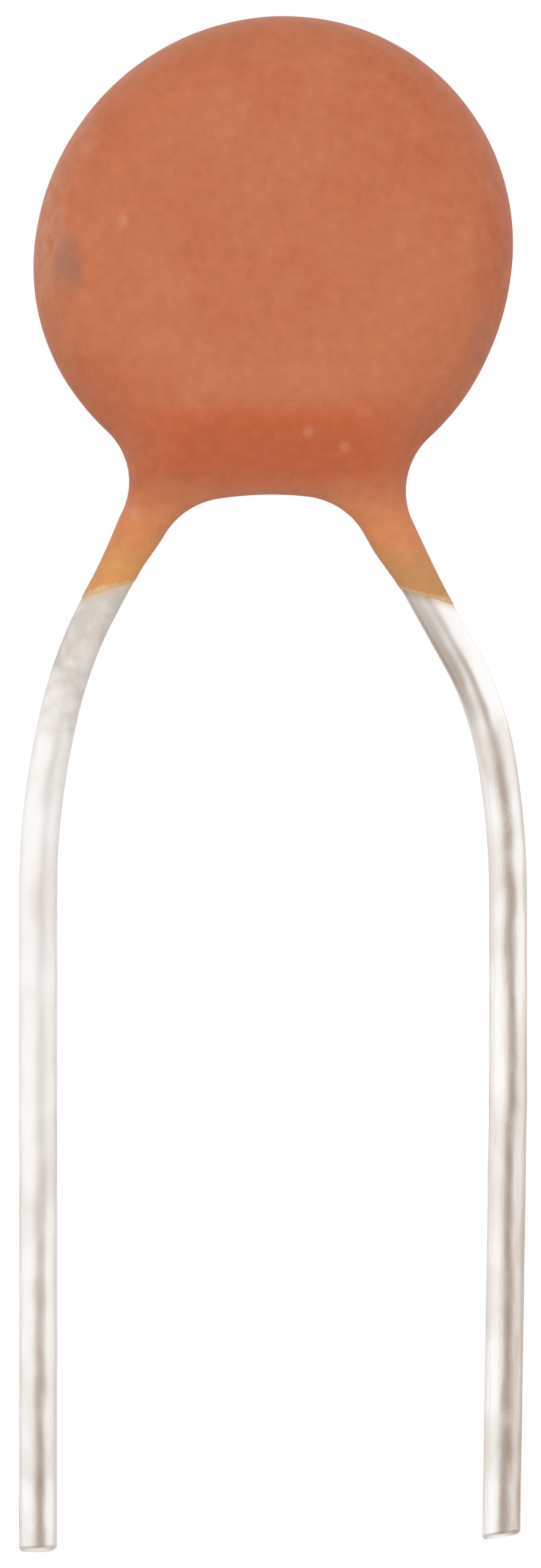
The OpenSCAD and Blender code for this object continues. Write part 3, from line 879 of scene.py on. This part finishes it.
studio = {
    "floorSize": 2.0, "lampAway": 0.1, "clip": (0.001, 10.0),  # in metres
    "floorColour": (0.9, 0.9, 0.9, 1.0), "floorLift": 0.38,
    "skyLevel": 0.88, "skyTop": 0.64,
    # what bright metal sees round it: azimuth from the front towards the right, and brightness
    "roomRound": [(-180, 0.72), (-128, 0.84), (-89, 1.0), (-60, 1.0), (-40, 0.98), (-22, 0.82),
                  (-4, 0.54), (13, 0.44), (27, 0.49), (42, 0.67), (62, 0.93), (92, 0.97),
                  (125, 0.72), (150, 0.68), (180, 0.72)],
    "roomWarmth": (1.0, 0.82, 0.72),
    # and above and below: elevations between which the room changes
    "whiteAbove": (3, 12), "darkBelow": (-23, -9), "paleUnder": (-46, -33), "dimOver": (40, 65),
    "roomLow": linear(178, 166, 158), "roomUnder": (0.9, 0.9, 0.9, 1.0),
    "roomTop": (0.45, 0.44, 0.43, 1.0),
    "lampAzimuth": -8, "lampElevation": 8, "lampSpread": 40, "lampStrength": 1.05,
    "lens": 200.0, "sensor": 36.0, "frameHeight": 16.937, "aimX": -0.028, "aimZ": 1.242,
}


def roomSeen(tree, way):
    # the room as bright metal shows it, by direction: darker by the camera, paler at the sides,
    # white a little above, dim overhead, darker below and pale straight down
    x, y, z = separate(tree, vectorCalc(tree, "NORMALIZE", way))
    azimuth = calc(tree, "ARCTAN2", x, times(tree, y, -1.0))
    turn = calc(tree, "ADD", calc(tree, "DIVIDE", azimuth, 2 * math.pi), 0.5)
    bands = addNode(tree, "ShaderNodeValToRGB", {"Fac": turn})
    stops = bands.color_ramp.elements
    bands.color_ramp.interpolation = "EASE"
    for index, (angle, level) in enumerate(studio["roomRound"]):
        stop = stops[index] if index < 2 else stops.new(1.0)  # a new ramp has two stops
        stop.position = angle / 360 + 0.5
        stop.color = [level ** (1 / tone) for tone in studio["roomWarmth"]] + [1.0]
    above, low, under, over = [
        ramp(tree, z, *[sinDeg(angle) for angle in studio[name]])
        for name in ("whiteAbove", "darkBelow", "paleUnder", "dimOver")]
    seen = mixColour(tree, 1.0, mixColour(tree, above, bands.outputs[0], white),
                     mixColour(tree, low, studio["roomLow"], white), "MULTIPLY")
    seen = mixColour(tree, under, studio["roomUnder"], seen)
    return mixColour(tree, over, seen, studio["roomTop"])


def makeFloor():
    half, low = studio["floorSize"] / 2, cadLow.z
    corners = [(-half, -half, low), (half, -half, low), (half, half, low), (-half, half, low)]
    mesh = bpy.data.meshes.new("floor")
    mesh.from_pydata(corners, [], [(0, 1, 2, 3)])
    floor = addToScene("floor", mesh)
    floor.visible_glossy = False  # the bright wire shows the room alone
    material, tree = emptyMaterial("whiteFloor")
    ray = addNode(tree, "ShaderNodeLightPath").outputs
    matte = addNode(tree, "ShaderNodeBsdfDiffuse", {"Color": studio["floorColour"]}).outputs[0]
    lift = times(tree, ray["Is Camera Ray"], studio["floorLift"])
    glow = addNode(tree, "ShaderNodeEmission", {"Strength": lift}).outputs[0]
    shown = addNode(tree, "ShaderNodeAddShader", {0: matte, 1: glow}).outputs[0]
    addNode(tree, "ShaderNodeOutputMaterial", {"Surface": shown})
    mesh.materials.append(material)


def makeSurround():
    # plain white to the camera, the room to bright metal, a soft sky as light
    world = bpy.data.worlds.new("surround")
    bpy.context.scene.world = world
    world.use_nodes = True
    tree = world.node_tree
    tree.nodes.clear()
    ray = addNode(tree, "ShaderNodeLightPath").outputs
    way = addNode(tree, "ShaderNodeTexCoord").outputs["Generated"]
    sky = ramp(tree, separate(tree, way)["Z"], 0.0, 1.0, studio["skyLevel"], studio["skyTop"])
    room, softSky, plain = [
        addNode(tree, "ShaderNodeBackground", {"Color": colour, "Strength": strength}).outputs[0]
        for colour, strength in ((roomSeen(tree, way), 1.0), (white, sky), (white, 1.0))]
    mirrored = calc(tree, "MAXIMUM", ray["Is Glossy Ray"], ray["Is Transmission Ray"])
    lit = addNode(tree, "ShaderNodeMixShader", {0: mirrored, 1: softSky, 2: room}).outputs[0]
    seen = addNode(tree, "ShaderNodeMixShader", {
        0: ray["Is Camera Ray"], 1: lit, 2: plain}).outputs[0]
    addNode(tree, "ShaderNodeOutputWorld", {"Surface": seen})


def makeLamp():
    # one broad, even lamp from the front, a little left and above, kept out of the bright wire
    lamp = bpy.data.lights.new("softLamp", "SUN")
    lamp.energy, lamp.angle = studio["lampStrength"], math.radians(studio["lampSpread"])
    azimuth, elevation = studio["lampAzimuth"], studio["lampElevation"]
    level = cosDeg(elevation)
    away = Vector((sinDeg(azimuth) * level, -cosDeg(azimuth) * level, sinDeg(elevation)))
    holder = addToScene("softLamp", lamp)
    holder.location = away * studio["lampAway"]
    holder.rotation_euler = (-away).to_track_quat("-Z", "Y").to_euler()
    holder.visible_glossy = False


def makeCamera():
    lens = bpy.data.cameras.new("longLens")
    lens.lens, lens.sensor_width = studio["lens"], studio["sensor"]
    lens.clip_start, lens.clip_end = studio["clip"]
    camera = addToScene("longLens", lens)
    distance = studio["frameHeight"] * studio["lens"] / studio["sensor"]
    camera.location = Vector((studio["aimX"], -distance, studio["aimZ"])) * mm
    camera.rotation_euler = (math.radians(90), 0, 0)
    bpy.context.scene.camera = camera
    bpy.context.scene.view_settings.view_transform = "Standard"


def makeStudio():
    makeFloor()
    makeSurround()
    makeLamp()
    makeCamera()
    print("studio ready")


makeStudio()
leftWire, rightWire = makeWires()
dippedCoat = makeCoat()
dressInside()

for piece, node, slot in ((leftWire, "left_lead", "tinned_wire"),
                          (rightWire, "right_lead", "tinned_wire"),
                          (dippedCoat, "coating", "coat")):
    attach(piece, "root")
    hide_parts(node)

print("part dressed")
